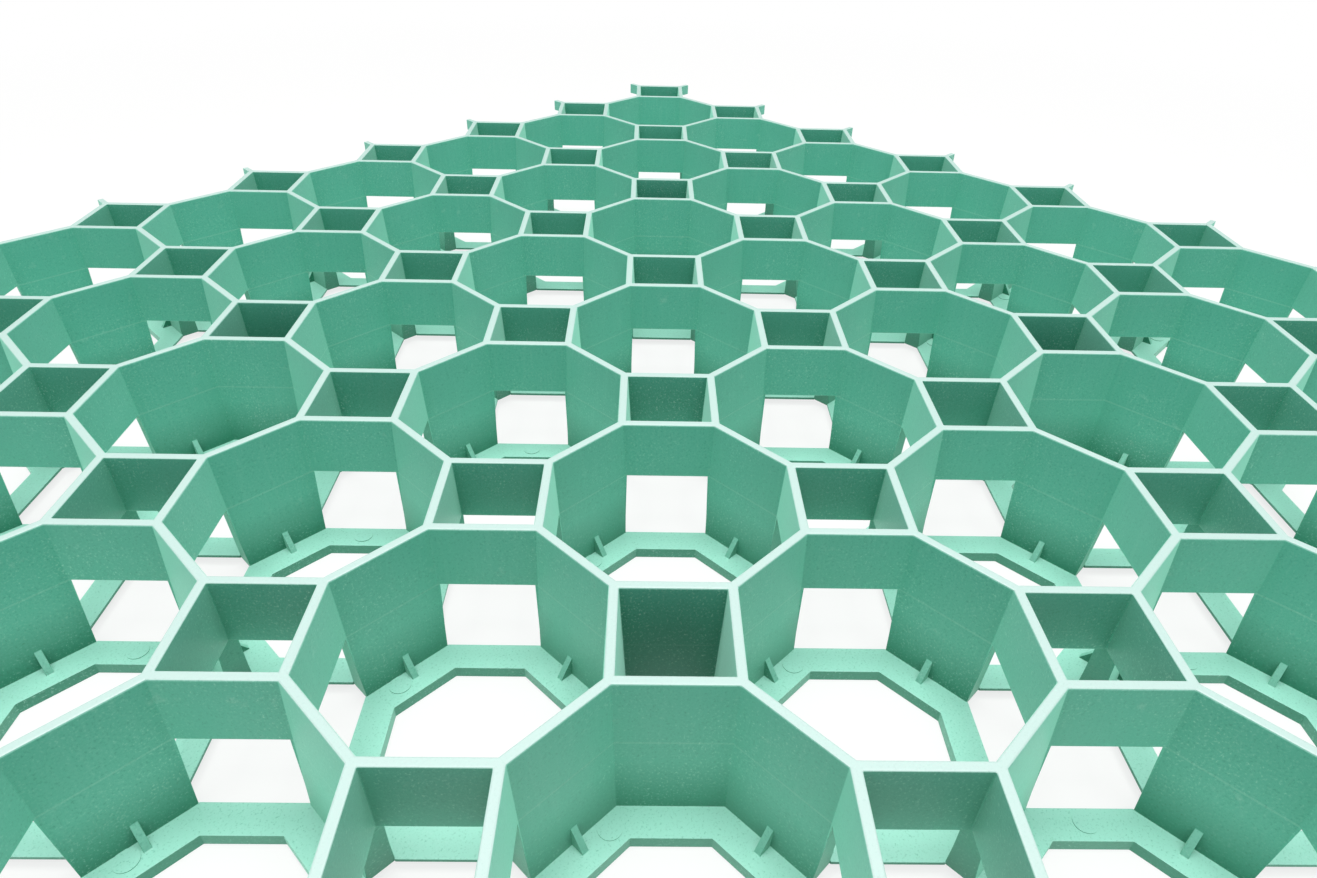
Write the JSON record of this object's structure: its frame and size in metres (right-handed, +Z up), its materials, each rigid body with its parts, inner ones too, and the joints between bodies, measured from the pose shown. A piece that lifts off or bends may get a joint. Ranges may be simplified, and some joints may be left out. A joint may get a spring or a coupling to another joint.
{
  "type": "grass paver grid",
  "caption": "Moulded plastic grass paver: flat lattice of open octagon and square cells with walls open at the foot, rimmed foot plates and spacing lugs, laid on soil to carry traffic on turf.",
  "frame": {"origin": "middle of the panel's box on the ground plane, under the foot rims", "axes": "+Z up; +X and +Y along the panel's sides, towards the two sides that carry the outer square cells and lugs"},
  "size_m": [0.5184, 0.5184, 0.045],
  "materials": {
    "green_polyethylene": "satin as-moulded polyethylene, pale blue-green"
  },
  "bodies": {
    "root": {"paver_grid": "green_polyethylene"}
  },
  "joints": []
}
